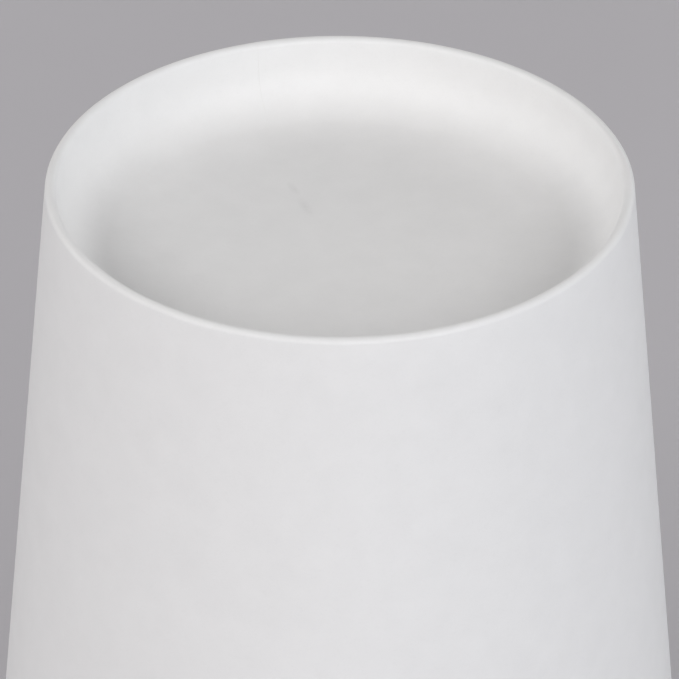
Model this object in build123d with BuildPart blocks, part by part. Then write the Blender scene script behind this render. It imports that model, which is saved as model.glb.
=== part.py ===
"""Paper cup of two glued boards, standing mouth down on its rolled rim.

The origin is the centre of the mouth, on the plane that the rim rests on, and +Z runs up to the foot.
"""
import os
from math import acos, asin, atan2, cos, degrees, hypot, radians, sin

from build123d import *

# Overall sizes, in millimetres
cup_height = 112.0
rim_diameter = 90.0
base_diameter = 60.0

# Boards and the glued joint between them
wall_board = 0.40
bottom_board = 0.30
glue_gap = 0.05

# Rolled rim: the outside diameter of the roll
rim_roll = 3.0

# Foot: the wall's edge folded in and down over the bottom's skirt
hem_lean = 3.0

# Recess under the cup
recess_depth = 7.6
floor_bend = 5.0
skirt_room = 1.5

# Side seam: where the outer flap is cut, how far it laps and how gently it lifts off the cone
seam_angle = 108.0
seam_lap = 7.0
flap_turn = 36.0
seam_press_share = 0.85

# Rolled rim in the section plane: x is the radius, y the height
roll_radius = rim_roll / 2
roll_centre = Vector(rim_diameter / 2 - roll_radius, roll_radius)

# The wall's outer face runs from the foot's corner and touches the roll's inner line
base_corner = Vector(base_diameter / 2, cup_height)
corner_to_roll = roll_centre - base_corner
wall_lean = degrees(
    atan2(corner_to_roll.X, -corner_to_roll.Y)
    - asin((roll_radius - wall_board) / hypot(corner_to_roll.X, corner_to_roll.Y))
)
wall_out = Vector(cos(radians(wall_lean)), sin(radians(wall_lean)))

# The fold is one round turn, with room in it for the skirt
crest_radius = wall_board + glue_gap + bottom_board / 2
crest_height = cup_height - crest_radius
crest_centre = Vector(base_corner.X - crest_radius * (1 - wall_out.Y) / wall_out.X, crest_height)

# The hem leans in as it goes down, and bends on to the floor of the recess
hem_out = Vector(-cos(radians(hem_lean)), sin(radians(hem_lean)))
floor_height = cup_height - recess_depth
hem_drop = floor_height + floor_bend - crest_height
floor_radius = crest_centre.X + (floor_bend + crest_radius - hem_drop * hem_out.Y) / hem_out.X

# The roll stays open by two lapped boards and a gap
roll_opening = degrees(acos((roll_radius - 2 * wall_board - glue_gap) / roll_radius))
roll_end = 180 + wall_lean + 360 - roll_opening

# A turn of board is drawn as flats, each touching the true curve at one of these angles
roll_angles = [180 + wall_lean, 225, 270, 315, 360, 405, 450, roll_end]
bend_angles = [-90, -50, -hem_lean]

# The flap swings about an axis set back from the cup's own, so that it leaves the cone at a tangent
lap_angle = degrees(seam_lap / base_corner.X)
flap_start = seam_angle - flap_turn
seam_step = seam_press_share * wall_board / wall_out.X
flap_setback = seam_step / (1 - cos(radians(flap_turn)))
flap_centre = Vector(-flap_setback, 0, 0).rotate(Axis.Z, flap_start)
flap_axis = Axis(flap_centre, Vector(0, 0, 1))
wall_start = seam_angle - lap_angle
wall_turn = 360 - (wall_start - flap_start)


def section_plane(angle):
    """Upright plane through the axis, turned from +X by an angle."""
    return Plane(
        (0, 0, 0),
        x_dir=Vector(1, 0, 0).rotate(Axis.Z, angle),
        z_dir=Vector(0, -1, 0).rotate(Axis.Z, angle),
    )


def touch_point(centre, radius, angle):
    """Point of a circle at an angle from the section's x."""
    return centre + Vector(cos(radians(angle)), sin(radians(angle))) * radius


def turn_corners(centre, radius, angles):
    """Corners between the flats of one turn of board."""
    return [
        touch_point(centre, radius / cos(radians(second - first) / 2), (first + second) / 2)
        for first, second in zip(angles, angles[1:])
    ]


def roll_face(radius):
    """One face of the rolled rim, from the wall round to the cut edge."""
    return [*turn_corners(roll_centre, radius, roll_angles), touch_point(roll_centre, radius, roll_end)]


def bend_corners(depth_in_boards, board=0):
    """The bend at a depth under the hem's shown face, or on the far side of a board that lies there."""
    radius = floor_bend + depth_in_boards / (1 - hem_out.Y)
    return turn_corners(Vector(floor_radius, floor_height + radius), radius + board, bend_angles)


def foot_face(depth_in_board, crest_angles):
    """One face of the folded foot: from the hem's edge over the crest to the top of the wall."""
    return [
        *bend_corners(depth_in_board)[1:],
        *turn_corners(crest_centre, crest_radius - depth_in_board, [180 - hem_lean, *crest_angles, wall_lean]),
    ]


roll_outer = roll_face(roll_radius)
roll_inner = roll_face(roll_radius - wall_board)
foot_shown = foot_face(0, [135, 90, 45])
foot_hidden = foot_face(wall_board, [90])
wall_outline = [roll_outer[0], roll_inner[0], foot_shown[-1], foot_hidden[-1]]

# Side wall: one wrapped board with its folded foot, lapped seam and rolled rim
with BuildPart() as side_wall:
    with BuildSketch(section_plane(0)) as edge_sections:
        for near_face, far_face in ((foot_shown, foot_hidden), (roll_outer, roll_inner)):
            with BuildLine():
                Polyline(*near_face, *far_face[::-1], close=True)
            make_face()
    revolve(edge_sections.sketch, axis=Axis.Z)
    with BuildSketch(section_plane(wall_start)) as wall_section:
        with BuildLine():
            Polyline(*wall_outline, close=True)
        make_face()
    revolve(wall_section.sketch, axis=Axis.Z, revolution_arc=wall_turn)
    with BuildSketch(section_plane(flap_start)) as flap_section:
        with BuildLine():
            Polyline(*wall_outline, close=True)
        make_face()
    revolve(flap_section.sketch, axis=flap_axis, revolution_arc=flap_turn)

# Bottom: a disc whose edge bends up into a skirt beside the hem
skirt_depth = wall_board + glue_gap
upper_bend = bend_corners(skirt_depth)
lower_bend = bend_corners(skirt_depth, bottom_board)
skirt_up = Vector(hem_out.Y, -hem_out.X)
skirt_height = cup_height - wall_board - skirt_room - upper_bend[-1].Y
skirt_run = skirt_up * (skirt_height / skirt_up.Y)
with BuildPart() as bottom:
    with BuildSketch(section_plane(0)) as bottom_section:
        with BuildLine():
            Polyline(
                (0, floor_height),
                *upper_bend,
                upper_bend[-1] + skirt_run,
                lower_bend[-1] + skirt_run,
                *lower_bend[::-1],
                (0, floor_height - bottom_board),
                close=True,
            )
        make_face()
    revolve(bottom_section.sketch, axis=Axis.Z)

os.makedirs("parts", exist_ok=True)
side_wall.part.label = "side_wall"
export_step(side_wall.part, "parts/side_wall.step")
bottom.part.label = "bottom"
export_step(bottom.part, "parts/bottom.step")
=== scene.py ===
"""Dresses a plain paper cup that stands mouth down: its two boards, their finish and the studio.

Lengths are in metres, in the frame of the solid model: +Z is up, and the origin is the centre of the
mouth, which rests on the floor.
"""
from math import asin, atan2, cos, hypot, pi, radians, sin, tan

import bmesh
import bpy
from bpy.props import FloatProperty, FloatVectorProperty, PointerProperty
from mathutils import Matrix, Vector


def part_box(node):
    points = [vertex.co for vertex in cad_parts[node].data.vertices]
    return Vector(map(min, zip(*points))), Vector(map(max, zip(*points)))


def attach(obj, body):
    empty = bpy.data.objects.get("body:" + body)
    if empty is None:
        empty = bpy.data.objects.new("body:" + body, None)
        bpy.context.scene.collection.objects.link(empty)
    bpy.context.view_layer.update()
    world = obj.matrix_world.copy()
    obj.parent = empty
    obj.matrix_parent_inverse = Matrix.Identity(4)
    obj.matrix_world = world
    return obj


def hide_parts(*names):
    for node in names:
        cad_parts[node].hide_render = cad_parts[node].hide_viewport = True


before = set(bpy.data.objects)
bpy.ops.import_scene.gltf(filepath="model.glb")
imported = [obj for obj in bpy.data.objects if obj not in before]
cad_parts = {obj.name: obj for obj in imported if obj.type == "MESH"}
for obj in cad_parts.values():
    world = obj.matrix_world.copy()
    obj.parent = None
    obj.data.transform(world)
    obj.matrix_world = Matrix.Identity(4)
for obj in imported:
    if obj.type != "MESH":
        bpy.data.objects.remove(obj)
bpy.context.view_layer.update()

bl_info = {
    "name": "Paper Cup",
    "version": (1, 0, 0),
    "blender": (4, 5, 0),
    "location": "3D View > Sidebar > Paper Cup",
    "description": "Makes a plain paper cup from two glued boards, and a studio to show it in",
    "category": "Add Mesh",
}

WALL_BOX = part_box("side_wall")
BOTTOM_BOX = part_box("bottom")
BODY = "root"

# Thickness of the bottom, which lies under the recess
BOTTOM_BOARD = 0.00030

# Steps of the meshes: round the cup, across the lap of the seam, and in each turn and run of the section
ROUND_STEPS = 224
LAP_STEPS = 40
FOLD_STEPS = 18
BEND_STEPS = 14
ROLL_STEPS = 30
WALL_STEPS = 24
FLOOR_STEPS = 12
HEM_STEPS = 6
SKIRT_STEPS = 4

# Points of a sheet that are closer than this are one
MERGE_DISTANCE = 0.000005

# How far the wall turns in the roll, and how far the hem follows the bend while it is feathered out
ROLL_TURN = radians(295)
FEATHER_ANGLE = radians(89)

# Vertex group of the wall with each place's share of the board, and the thinnest share that is left
SHARE_NAME = "board_share"
SHARE_GROUP = 0
THINNEST_SHARE = 0.06

# Pressed seam: the gap that keeps the boards' faces apart, and the share of its climb after which the
# flap gets thinner
SEAL_GAP = 0.00002
THIN_FROM = 0.75

# A sheet's materials are its shown face, its lining and its cut edge, in this order
LINING_SLOT = 1
CUT_EDGE_SLOT = 2

# Rounding of the cut edges
EDGE_BEVEL = 0.00004
EDGE_BEVEL_STEPS = 2
EDGE_ANGLE = radians(50)

# Sizes of the patterns in the finishes
BOARD_CLOUD = 0.0040
BOARD_FIBRE = 0.00050
BOARD_TOOTH = 0.00012
LINING_CLOUD = 0.0050
LINING_PEEL = 0.0009
EDGE_FIBRE = 0.00015
RUB_GRAIN = 0.0006
STUDIO_CLOUD = 0.02

# Board: the share of clouds in its formation, where the rest is fibre, and of fibre in its grain
CLOUD_SHARE = 0.55
FIBRE_SHARE = 0.60

# Rub marks on the floor of the recess: x, y, length, width and turn in degrees
RUB_STRENGTH = 0.42
RUB_MARKS = (
    (-0.0049, 0.0101, 0.0034, 0.0011, 113),
    (-0.0036, 0.0065, 0.0046, 0.0013, 110),
)

# Studio: half the width of its floor, and the width of the camera's sensor in millimetres
STUDIO_HALF_SIZE = 4
SENSOR_WIDTH = 36

# Softboxes all face the foot. Each has an azimuth from the camera towards +X, an elevation, a width and
# a height, all in degrees as seen from the foot, and an irradiance.
SOFTBOX_DISTANCE = 1.4
SOFTBOXES = {
    "front_left_key": (-45, 41, 34, 28, 1.03),
    "front_right_key": (45, 41, 34, 28, 0.66),
    "left_side": (-90, 41, 34, 28, 0.34),
    "right_side": (90, 41, 34, 28, 0.30),
    "low_front": (8, 23, 50, 18, 1.06),
    "low_right": (60, 9, 60, 16, 0.60),
    "low_right_back": (135, 18, 55, 22, 0.78),
    "low_back": (195, 11, 55, 14, 0.38),
    "low_left_back": (-118, 17, 38, 24, 0.59),
    "low_left": (-60, 11, 36, 14, 0.17),
    "back_overhead": (180, 63, 32, 32, 0.13),
}
COOL_SOFTBOX = "low_right"


class PaperCupSizes(bpy.types.PropertyGroup):
    """Sizes of the two boards and of their folds."""

    height: FloatProperty(
        name="Height", description="From the rolled rim to the crest of the foot",
        default=WALL_BOX[1].z - WALL_BOX[0].z, unit="LENGTH", precision=5,
    )
    rim_diameter: FloatProperty(
        name="Rim", description="Outside diameter of the rolled rim",
        default=2 * min(-WALL_BOX[0].x, -WALL_BOX[0].y, WALL_BOX[1].x, WALL_BOX[1].y),
        unit="LENGTH", precision=5,
    )
    base_diameter: FloatProperty(
        name="Foot", description="Outside diameter of the wall where it meets the plane of the foot",
        default=0.060, unit="LENGTH", precision=5,
    )
    wall_board: FloatProperty(
        name="Wall board", description="Thickness of the side wall",
        default=0.00040, unit="LENGTH", precision=5,
    )
    bottom_board: FloatProperty(
        name="Bottom board", description="Thickness of the bottom",
        default=BOTTOM_BOARD, unit="LENGTH", precision=5,
    )
    glue_gap: FloatProperty(
        name="Glue", description="Gap between glued boards",
        default=0.00005, unit="LENGTH", precision=5,
    )
    rim_roll: FloatProperty(
        name="Roll", description="Outside diameter of the roll",
        default=0.0030, unit="LENGTH", precision=5,
    )
    hem_lean: FloatProperty(
        name="Hem lean", description="Lean of the hem towards the axis",
        default=radians(3), subtype="ANGLE",
    )
    recess_depth: FloatProperty(
        name="Recess", description="Depth of the recess under the cup",
        default=WALL_BOX[1].z - BOTTOM_BOX[0].z - BOTTOM_BOARD, unit="LENGTH", precision=5,
    )
    floor_bend: FloatProperty(
        name="Floor bend", description="Radius between the hem and the floor of the recess",
        default=0.0050, unit="LENGTH", precision=5,
    )
    seam_angle: FloatProperty(
        name="Seam", description="Angle from +X to the cut edge of the seam",
        default=radians(108), subtype="ANGLE",
    )
    seam_lap: FloatProperty(
        name="Lap", description="Width of the glued lap at the foot",
        default=0.0070, unit="LENGTH", precision=5,
    )
    seam_climb: FloatProperty(
        name="Climb", description="Length over which the flap climbs on to the edge under it",
        default=0.0025, unit="LENGTH", precision=5,
    )
    wall_press: FloatProperty(
        name="Seam press", description="Height of the seam on the wall, as a share of the board",
        default=0.85, subtype="FACTOR", min=0, max=1,
    )
    hem_press: FloatProperty(
        name="Hem press",
        description="Height of the seam on the hem and on the roll, as a share of the board",
        default=0.10, subtype="FACTOR", min=0, max=1,
    )


class PaperCupLooks(bpy.types.PropertyGroup):
    """Colours of the boards and of the studio."""

    board: FloatVectorProperty(
        name="Board", description="Bleached outer face of the boards",
        default=(0.86, 0.851, 0.848), subtype="COLOR", min=0, max=1,
    )
    lining: FloatVectorProperty(
        name="Lining", description="Lined inner face of the boards",
        default=(0.85, 0.85, 0.845), subtype="COLOR", min=0, max=1,
    )
    cut_edge: FloatVectorProperty(
        name="Cut edge", description="Raw fibres where a board is cut",
        default=(0.80, 0.77, 0.71), subtype="COLOR", min=0, max=1,
    )
    smudge: FloatVectorProperty(
        name="Smudge", description="Faint rub marks on the bottom",
        default=(0.62, 0.61, 0.60), subtype="COLOR", min=0, max=1,
    )
    studio_floor: FloatVectorProperty(
        name="Studio floor", description="Plain pale floor",
        default=(0.558, 0.538, 0.562), subtype="COLOR", min=0, max=1,
    )


class PaperCupStudio(bpy.types.PropertyGroup):
    """Camera and light of the studio."""

    camera_distance: FloatProperty(
        name="Distance", description="From the camera to the centre of the foot",
        default=0.360, unit="LENGTH",
    )
    camera_elevation: FloatProperty(
        name="Elevation", description="Height of the camera over the foot, seen from the foot's centre",
        default=radians(31.2), subtype="ANGLE",
    )
    camera_drop: FloatProperty(
        name="Drop", description="Angle by which the camera looks below the centre of the foot",
        default=radians(2.64), subtype="ANGLE",
    )
    camera_roll: FloatProperty(
        name="Roll", description="Turn of the camera about its own axis",
        default=radians(0.13), subtype="ANGLE",
    )
    lens: FloatProperty(
        name="Lens", description="Focal length in millimetres",
        default=187.0, unit="CAMERA",
    )
    cool_light: FloatVectorProperty(
        name="Cool light", description="Tint of the softbox low on the right",
        default=(0.82, 0.91, 1.0), subtype="COLOR", min=0, max=1,
    )
    light_level: FloatProperty(
        name="Light", description="Level of all softboxes",
        default=1.0, subtype="FACTOR", min=0, soft_max=2,
    )


class CupSection:
    """Places in the cup's section, where x is the radius and z the height."""

    def __init__(self, sizes):
        board = sizes.wall_board
        self.roll_radius = sizes.rim_roll / 2 - board
        self.roll_centre = Vector((sizes.rim_diameter / 2 - sizes.rim_roll / 2, 0, sizes.rim_roll / 2))
        base_corner = Vector((sizes.base_diameter / 2, 0, sizes.height))
        to_roll = self.roll_centre - base_corner
        tangent = asin(self.roll_radius / hypot(to_roll.x, to_roll.z))
        self.wall_lean = atan2(to_roll.x, -to_roll.z) - tangent
        fold = board + sizes.bottom_board / 2 + sizes.glue_gap
        fold_x = base_corner.x - fold * (1 - sin(self.wall_lean)) / cos(self.wall_lean)
        self.fold_radius = fold
        self.fold_centre = Vector((fold_x, 0, sizes.height - fold))
        self.hem_lean = sizes.hem_lean
        self.floor_height = sizes.height - sizes.recess_depth
        hem_drop = self.floor_height + sizes.floor_bend - self.fold_centre.z
        reach = sizes.floor_bend + fold - hem_drop * sin(self.hem_lean)
        self.floor_radius = fold_x - reach / cos(self.hem_lean)

    def bend_radius(self, sizes, depth):
        """Radius of the bend at a depth under the hem; all bends leave the floor at one circle."""
        return sizes.floor_bend + depth / (1 - sin(self.hem_lean))


class SheetLine:
    """The section of a sheet, drawn in the upright plane through +X, one run or turn after the other."""

    def __init__(self, bm, x, z):
        self.bm = bm
        self.tip = bm.verts.new((x, 0, z))

    def run(self, x, z, steps):
        """Goes straight to a place in equal steps."""
        step = (Vector((x, 0, z)) - self.tip.co) / steps
        for _ in range(steps):
            made = bmesh.ops.extrude_vert_indiv(self.bm, verts=[self.tip])
            self.tip = made["verts"][0]
            self.tip.co += step

    def turn(self, centre, angle, steps):
        """Turns about a centre, counter-clockwise where x runs right and z up."""
        made = bmesh.ops.spin(
            self.bm, geom=[self.tip], cent=centre, axis=(0, -1, 0), angle=angle, steps=steps,
        )
        self.tip = next(item for item in made["geom_last"] if isinstance(item, bmesh.types.BMVert))


def on_circle(centre, radius, angle):
    """Place on a circle of the section."""
    return centre.x + radius * cos(angle), centre.z + radius * sin(angle)


def spin_round(bm, geom, angle, steps, whole=False):
    """Spins geometry about the cup's axis, and returns the last ring."""
    made = bmesh.ops.spin(
        bm, geom=geom, cent=(0, 0, 0), axis=(0, 0, 1), angle=angle, steps=steps, use_merge=whole,
    )
    return made["geom_last"]


def face_out(bm, place, towards):
    """Turns the faces of a sheet so that the one nearest to a place looks in a direction."""
    bmesh.ops.recalc_face_normals(bm, faces=bm.faces)
    nearest = min(bm.faces, key=lambda face: (face.calc_center_median() - place).length)
    if nearest.normal.dot(towards) < 0:
        bmesh.ops.reverse_faces(bm, faces=bm.faces)
    bm.normal_update()


def smooth_step(share):
    """Eases from 0 to 1."""
    share = min(max(share, 0), 1)
    return share * share * (3 - 2 * share)


def finish_sheet(bm, name, board, materials, share_name=None):
    """Makes a sheet of board from its outer face, with a lined back and raw cut edges."""
    for face in bm.faces:
        face.smooth = True
    mesh = bpy.data.meshes.new(name)
    bm.to_mesh(mesh)
    bm.free()
    for material in materials:
        mesh.materials.append(material)
    sheet = bpy.data.objects.new(name, mesh)
    bpy.context.scene.collection.objects.link(sheet)
    solid = sheet.modifiers.new("board", "SOLIDIFY")
    solid.thickness = board
    solid.offset = -1
    solid.use_even_offset = True
    solid.material_offset = LINING_SLOT
    solid.material_offset_rim = CUT_EDGE_SLOT
    if share_name:
        sheet.vertex_groups.new(name=share_name)
        solid.vertex_group = share_name
    bevel = sheet.modifiers.new("cut edges", "BEVEL")
    bevel.limit_method = "ANGLE"
    bevel.angle_limit = EDGE_ANGLE
    bevel.width = EDGE_BEVEL
    bevel.segments = EDGE_BEVEL_STEPS
    bevel.harden_normals = True
    return sheet


class ShaderValue:
    """A socket of a finish, whose value can be written in sums."""

    def __init__(self, finish, socket):
        self.finish = finish
        self.socket = socket

    def join(self, operation, first, second):
        return self.finish.node("ShaderNodeMath", {"operation": operation}, {0: first, 1: second})

    def __add__(self, other):
        return self.join("ADD", self, other)

    def __radd__(self, other):
        return self.join("ADD", other, self)

    def __sub__(self, other):
        return self.join("SUBTRACT", self, other)

    def __rsub__(self, other):
        return self.join("SUBTRACT", other, self)

    def __mul__(self, other):
        return self.join("MULTIPLY", self, other)

    def __rmul__(self, other):
        return self.join("MULTIPLY", other, self)

    def __abs__(self):
        return self.finish.node("ShaderNodeMath", {"operation": "ABSOLUTE"}, {0: self})

    def clamped(self):
        """The value, kept from 0 to 1."""
        return self.finish.node("ShaderNodeClamp", {}, {"Value": self})


class Finish:
    """A material with one Principled shader, built up node by node."""

    # Numbers of a Mix node's sockets for colours, because several of its sockets have one name
    MIX_SHARE, MIX_FIRST, MIX_SECOND, MIX_RESULT = 0, 6, 7, 2

    def __init__(self, name):
        self.material = bpy.data.materials.new(name)
        self.material.use_nodes = True
        self.tree = self.material.node_tree
        self.shader = self.tree.nodes["Principled BSDF"]
        self.place = self.node("ShaderNodeTexCoord", {}, {}, "Object")

    def node(self, kind, settings, sockets, output=0):
        """Adds a node from its settings and its sockets' values or links, and returns an output."""
        node = self.tree.nodes.new(kind)
        for key, value in settings.items():
            setattr(node, key, value)
        self.fill(node, sockets)
        return ShaderValue(self, node.outputs[output])

    def fill(self, node, sockets):
        """Links a node's sockets to values, or sets them."""
        for key, value in sockets.items():
            if isinstance(value, ShaderValue):
                self.tree.links.new(value.socket, node.inputs[key])
            else:
                node.inputs[key].default_value = value

    def noise(self, size, detail=3.0, roughness=0.55, distortion=0.0):
        """Noise from 0 to 1 whose patches are about this large."""
        sockets = {
            "Vector": self.place, "Scale": 1 / size, "Detail": detail,
            "Roughness": roughness, "Distortion": distortion,
        }
        return self.node("ShaderNodeTexNoise", {"noise_dimensions": "3D"}, sockets, "Fac")

    def threads(self, size, **shape):
        """Noise folded at its middle, which leaves fine threads."""
        return abs(self.noise(size, **shape) * 2 - 1)

    def blend(self, share, first, second):
        """Mixes two colours, each a plain one or the result of another mix."""
        first, second = (
            colour if isinstance(colour, ShaderValue) else (*colour, 1) for colour in (first, second)
        )
        sockets = {self.MIX_SHARE: share, self.MIX_FIRST: first, self.MIX_SECOND: second}
        return self.node("ShaderNodeMix", {"data_type": "RGBA"}, sockets, self.MIX_RESULT)

    def mottle(self, share, colour, light, dark):
        """Varies a colour between a lighter and a darker level of it."""
        return self.blend(share, shade(colour, light), shade(colour, dark))

    def rub_mark(self, centre, length, width, turn):
        """Share of a soft, grainy streak that fades out towards its ends and sides."""
        sockets = {
            "Vector": self.place, "Location": centre,
            "Rotation": (0, 0, turn), "Scale": (length / 2, width / 2, length / 2),
        }
        placed = self.node("ShaderNodeMapping", {"vector_type": "TEXTURE"}, sockets)
        away = self.node("ShaderNodeVectorMath", {"operation": "LENGTH"}, {0: placed}, "Value")
        return (1 - away).clamped() * self.noise(RUB_GRAIN, roughness=0.6) * RUB_STRENGTH

    def relief(self, height, depth, strength):
        """Fine relief of the surface."""
        sockets = {"Height": height, "Distance": depth, "Strength": strength}
        return self.node("ShaderNodeBump", {}, sockets, "Normal")

    def surface(self, **sockets):
        """Sets the shader's sockets and returns the material."""
        self.fill(self.shader, {key.replace("_", " "): value for key, value in sockets.items()})
        return self.material


def between(low, high, share):
    """Goes from a low to a high value as a share goes from 0 to 1."""
    return low + (high - low) * share


def shade(colour, level):
    """A colour made darker or lighter."""
    return tuple(channel * level for channel in colour)


def board_finish(name, colour, smudge=None, rub_marks=()):
    """Uncoated bleached board: cloudy formation, fine fibres, a soft sheen, and any rub marks on it."""
    finish = Finish(name)
    cloud = finish.noise(BOARD_CLOUD)
    fibre = finish.threads(BOARD_FIBRE, detail=4.0, roughness=0.62, distortion=1.6)
    tooth = finish.noise(BOARD_TOOTH, detail=2.0)
    formation = between(fibre, cloud, CLOUD_SHARE)
    grain = between(tooth, fibre, FIBRE_SHARE)
    tint = finish.mottle(formation, colour, light=1.043, dark=0.922)
    for mark in rub_marks:
        tint = finish.blend(finish.rub_mark(*mark), tint, smudge)
    return finish.surface(
        Base_Color=tint,
        Roughness=between(0.47, 0.55, cloud) + between(0, 0.06, fibre),
        Normal=finish.relief(grain, depth=0.00002, strength=0.30),
    )


def lining_finish(name, colour):
    """Board under a thin smooth film: glossier, with a faint orange peel."""
    finish = Finish(name)
    peel = finish.noise(LINING_PEEL, detail=2.0)
    return finish.surface(
        Base_Color=finish.mottle(finish.noise(LINING_CLOUD), colour, light=1.03, dark=0.96),
        Roughness=between(0.28, 0.36, peel),
        Normal=finish.relief(peel, depth=0.00003, strength=0.25),
    )


def cut_edge_finish(name, colour):
    """Raw fibres of a cut through the board."""
    finish = Finish(name)
    fibre = finish.noise(EDGE_FIBRE, detail=4.0, roughness=0.7, distortion=1.0)
    return finish.surface(
        Base_Color=finish.mottle(fibre, colour, light=1.05, dark=0.88),
        Roughness=between(0.82, 0.92, fibre),
        Normal=finish.relief(fibre, depth=0.00004, strength=0.5),
    )


def studio_floor_finish(name, colour):
    """Matt floor with hardly any pattern."""
    finish = Finish(name)
    tint = finish.mottle(finish.noise(STUDIO_CLOUD), colour, light=1, dark=0.985)
    return finish.surface(Base_Color=tint, Roughness=0.9)


class PAPERCUP_OT_side_wall(bpy.types.Operator):
    """Wrap the side wall: its hem, the folded foot, the tapered wall with its seam, and the rolled rim"""

    bl_idname = "paper_cup.side_wall"
    bl_label = "Side Wall"

    def execute(self, context):
        sizes = context.scene.paper_cup_sizes
        looks = context.scene.paper_cup_looks
        section = CupSection(sizes)
        bm = bmesh.new()
        shares = bm.verts.layers.deform.verify()
        self.draw_section(bm, shares, section, sizes)
        flap = self.wrap(bm, sizes)
        face_out(bm, Vector((section.fold_centre.x, 0, sizes.height / 2)), Vector((1, 0, 0)))
        self.press_lap(bm, shares, flap, section, sizes)
        materials = [
            board_finish("wall_board_outside", looks.board),
            lining_finish("wall_board_lining", looks.lining),
            cut_edge_finish("wall_board_edge", looks.cut_edge),
        ]
        wall = finish_sheet(bm, "wrapped_wall", sizes.wall_board, materials, SHARE_NAME)
        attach(wall, BODY)
        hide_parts("side_wall")
        return {"FINISHED"}

    def draw_section(self, bm, shares, section, sizes):
        """Draws the sheet's outer face from the feathered hem over the crest to the end of the roll."""
        bend_centre = Vector((section.floor_radius, 0, section.floor_height + sizes.floor_bend))
        line = SheetLine(bm, *on_circle(bend_centre, sizes.floor_bend, -FEATHER_ANGLE))
        line.turn(bend_centre, FEATHER_ANGLE - section.hem_lean, BEND_STEPS)
        feathered = set(bm.verts)
        hem_top = on_circle(section.fold_centre, section.fold_radius, pi - section.hem_lean)
        line.run(*hem_top, HEM_STEPS)
        line.turn(section.fold_centre, section.wall_lean + section.hem_lean - pi, FOLD_STEPS)
        roll_start = on_circle(section.roll_centre, section.roll_radius, pi + section.wall_lean)
        line.run(*roll_start, WALL_STEPS)
        line.turn(section.roll_centre, ROLL_TURN, ROLL_STEPS)
        for vert in bm.verts:
            share = 1
            if vert in feathered:
                below = atan2(bend_centre.z - vert.co.z, vert.co.x - bend_centre.x)
                share = max((1 - sin(below)) / (1 - sin(section.hem_lean)), THINNEST_SHARE)
            vert[shares][SHARE_GROUP] = share

    def wrap(self, bm, sizes):
        """Spins the section round the axis and over its start, and returns the flap that covers it."""
        lap, climb, start = self.lap_angles(sizes)
        bmesh.ops.rotate(bm, verts=bm.verts, cent=(0, 0, 0), matrix=Matrix.Rotation(start, 3, "Z"))
        ring = spin_round(bm, bm.verts[:] + bm.edges[:], 2 * pi - climb, ROUND_STEPS)
        before = set(bm.verts)
        spin_round(bm, ring, climb + lap, LAP_STEPS)
        return set(bm.verts) - before

    def lap_angles(self, sizes):
        """Angles of the lap and of the climb before it, and the angle where the covered edge starts."""
        lap = 2 * sizes.seam_lap / sizes.base_diameter
        climb = 2 * sizes.seam_climb / sizes.base_diameter
        return lap, climb, sizes.seam_angle - lap

    def seam_height(self, place, section, sizes):
        """How far the seam stands proud, as a share of the board: less on the hem and on the roll."""
        if hypot(place.x, place.y) < section.fold_centre.x:
            return sizes.hem_press
        on_wall = smooth_step((section.fold_centre.z - place.z) / sizes.seam_climb)
        on_wall *= smooth_step((place.z - sizes.rim_roll) / sizes.seam_climb)
        return between(sizes.hem_press, sizes.wall_press, on_wall)

    def press_lap(self, bm, shares, flap, section, sizes):
        """Lifts the flap on to the edge that it covers, and presses both boards thinner there.

        Just before the flap ends, the covered board gets back its thickness, and only the flap is
        thinner.
        """
        lap, climb, start = self.lap_angles(sizes)
        run_out = climb / 2
        for vert in bm.verts:
            past = (atan2(vert.co.y, vert.co.x) - start + climb) % (2 * pi)
            lift = Vector((vert.normal.x, vert.normal.y, 0)) * self.seam_height(vert.co, section, sizes)
            thinner = (1 - lift.dot(vert.normal) + SEAL_GAP / sizes.wall_board) / 2
            covered = smooth_step((lap + run_out - past) / run_out)
            if vert in flap:
                climbed = past / climb
                move = lift * smooth_step(climbed)
                pressed = smooth_step((climbed - THIN_FROM) / (1 - THIN_FROM)) + 1 - covered
            elif run_out < past < climb + lap:
                move = vert.normal * -thinner * covered
                pressed = covered
            else:
                continue
            vert.co += move * sizes.wall_board
            share = vert[shares][SHARE_GROUP] * (1 - thinner * pressed)
            vert[shares][SHARE_GROUP] = max(share, THINNEST_SHARE)


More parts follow.
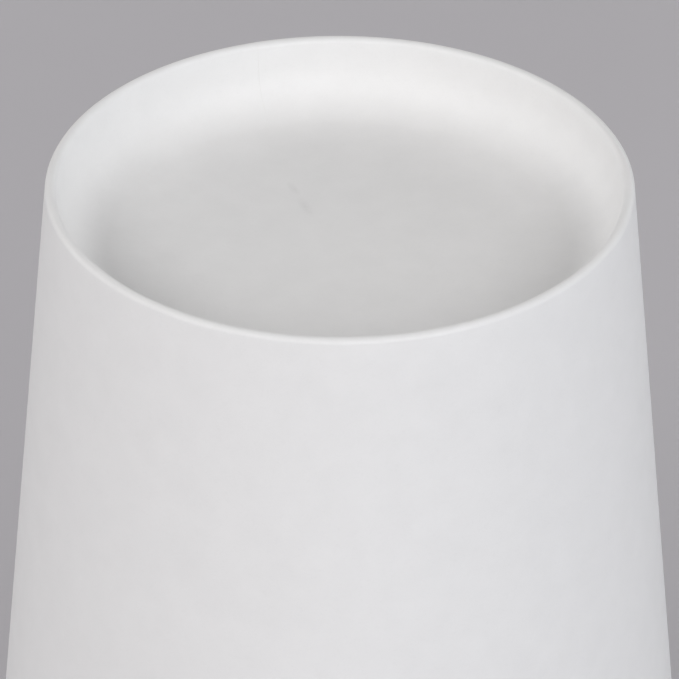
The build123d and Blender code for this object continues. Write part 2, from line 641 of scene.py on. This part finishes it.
class PAPERCUP_OT_bottom(bpy.types.Operator):
    """Make the bottom: a disc with its edge bent up into the skirt that the hem holds"""

    bl_idname = "paper_cup.bottom"
    bl_label = "Bottom"

    def execute(self, context):
        sizes = context.scene.paper_cup_sizes
        looks = context.scene.paper_cup_looks
        section = CupSection(sizes)
        bm = bmesh.new()
        self.draw_section(bm, section, sizes)
        spin_round(bm, bm.verts[:] + bm.edges[:], 2 * pi, ROUND_STEPS, whole=True)
        bmesh.ops.remove_doubles(bm, verts=bm.verts, dist=MERGE_DISTANCE)
        face_out(bm, Vector((0, 0, section.floor_height)), Vector((0, 0, 1)))
        rub_marks = [
            ((x, y, section.floor_height), length, width, radians(turn))
            for x, y, length, width, turn in RUB_MARKS
        ]
        materials = [
            board_finish("bottom_board_outside", looks.board, looks.smudge, rub_marks),
            lining_finish("bottom_board_lining", looks.lining),
            cut_edge_finish("bottom_board_edge", looks.cut_edge),
        ]
        disc = finish_sheet(bm, "skirted_disc", sizes.bottom_board, materials)
        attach(disc, BODY)
        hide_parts("bottom")
        return {"FINISHED"}

    def draw_section(self, bm, section, sizes):
        """Draws the shown face, from the middle of the floor over the bend to the top of the skirt."""
        bend = section.bend_radius(sizes, sizes.wall_board + sizes.glue_gap)
        bend_centre = Vector((section.floor_radius, 0, section.floor_height + bend))
        line = SheetLine(bm, 0, section.floor_height)
        line.run(section.floor_radius, section.floor_height, FLOOR_STEPS)
        line.turn(bend_centre, pi / 2 - section.hem_lean, BEND_STEPS)
        skirt_top = BOTTOM_BOX[1].z
        skirt_out = (skirt_top - line.tip.co.z) * tan(section.hem_lean)
        line.run(line.tip.co.x + skirt_out, skirt_top, SKIRT_STEPS)


class PAPERCUP_OT_studio(bpy.types.Operator):
    """Set the stage: a plain pale floor, softboxes and the camera"""

    bl_idname = "paper_cup.studio"
    bl_label = "Studio"

    def execute(self, context):
        sizes = context.scene.paper_cup_sizes
        looks = context.scene.paper_cup_looks
        studio = context.scene.paper_cup_studio
        self.make_floor(context, looks)
        self.make_softboxes(context, studio, sizes)
        self.make_camera(context, studio, sizes)
        context.scene.view_settings.view_transform = "Standard"
        context.scene.world = bpy.data.worlds.new("studio_world")
        context.scene.world.use_nodes = True
        context.scene.world.node_tree.nodes["Background"].inputs["Strength"].default_value = 0
        return {"FINISHED"}

    def make_floor(self, context, looks):
        """A wide plain floor under the rim."""
        bm = bmesh.new()
        bmesh.ops.create_grid(bm, x_segments=1, y_segments=1, size=STUDIO_HALF_SIZE)
        mesh = bpy.data.meshes.new("studio_floor")
        bm.to_mesh(mesh)
        bm.free()
        mesh.materials.append(studio_floor_finish("studio_floor", looks.studio_floor))
        floor = bpy.data.objects.new("studio_floor", mesh)
        context.scene.collection.objects.link(floor)

    def make_softboxes(self, context, studio, sizes):
        """Softboxes round the cup, all facing the foot."""
        aim = Vector((0, 0, sizes.height))
        for name, (*angles, irradiance) in SOFTBOXES.items():
            azimuth, elevation, width, height = map(radians, angles)
            away = Vector((
                sin(azimuth) * cos(elevation), -cos(azimuth) * cos(elevation), sin(elevation),
            ))
            lamp = bpy.data.lights.new(name, "AREA")
            lamp.shape = "RECTANGLE"
            lamp.size = 2 * SOFTBOX_DISTANCE * tan(width / 2)
            lamp.size_y = 2 * SOFTBOX_DISTANCE * tan(height / 2)
            lamp.energy = studio.light_level * irradiance * pi * SOFTBOX_DISTANCE ** 2
            if name == COOL_SOFTBOX:
                lamp.color = studio.cool_light
            softbox = bpy.data.objects.new(name, lamp)
            softbox.location = aim + away * SOFTBOX_DISTANCE
            softbox.rotation_euler = away.to_track_quat("Z", "Y").to_euler()
            context.scene.collection.objects.link(softbox)

    def make_camera(self, context, studio, sizes):
        """The camera, looking down on the foot."""
        elevation = studio.camera_elevation
        away = Vector((0, -cos(elevation), sin(elevation)))
        data = bpy.data.cameras.new("camera")
        data.sensor_width = SENSOR_WIDTH
        data.lens = studio.lens
        camera = bpy.data.objects.new("camera", data)
        camera.location = Vector((0, 0, sizes.height)) + away * studio.camera_distance
        tilt = Matrix.Rotation(pi / 2 - elevation - studio.camera_drop, 4, "X")
        camera.rotation_euler = (tilt @ Matrix.Rotation(studio.camera_roll, 4, "Z")).to_euler()
        context.scene.collection.objects.link(camera)
        context.scene.camera = camera


class PAPERCUP_PT_sidebar(bpy.types.Panel):
    """Paper cup: sizes, colours and the steps that build it"""

    bl_idname = "PAPERCUP_PT_sidebar"
    bl_label = "Paper Cup"
    bl_space_type = "VIEW_3D"
    bl_region_type = "UI"
    bl_category = "Paper Cup"

    def draw(self, context):
        for group_name, group in GROUPS.items():
            box = self.layout.box()
            for name in group.__annotations__:
                box.prop(getattr(context.scene, group_name), name)
        for operator in OPERATORS:
            self.layout.operator(operator.bl_idname)


GROUPS = {
    "paper_cup_sizes": PaperCupSizes,
    "paper_cup_looks": PaperCupLooks,
    "paper_cup_studio": PaperCupStudio,
}
OPERATORS = (PAPERCUP_OT_side_wall, PAPERCUP_OT_bottom, PAPERCUP_OT_studio)
CLASSES = (*GROUPS.values(), *OPERATORS, PAPERCUP_PT_sidebar)


def register():
    for cls in CLASSES:
        bpy.utils.register_class(cls)
    for name, group in GROUPS.items():
        setattr(bpy.types.Scene, name, PointerProperty(type=group))


def unregister():
    for name in GROUPS:
        delattr(bpy.types.Scene, name)
    for cls in reversed(CLASSES):
        bpy.utils.unregister_class(cls)


def main():
    register()
    bpy.ops.paper_cup.side_wall()
    bpy.ops.paper_cup.bottom()
    bpy.ops.paper_cup.studio()


if __name__ == "__main__":
    main()
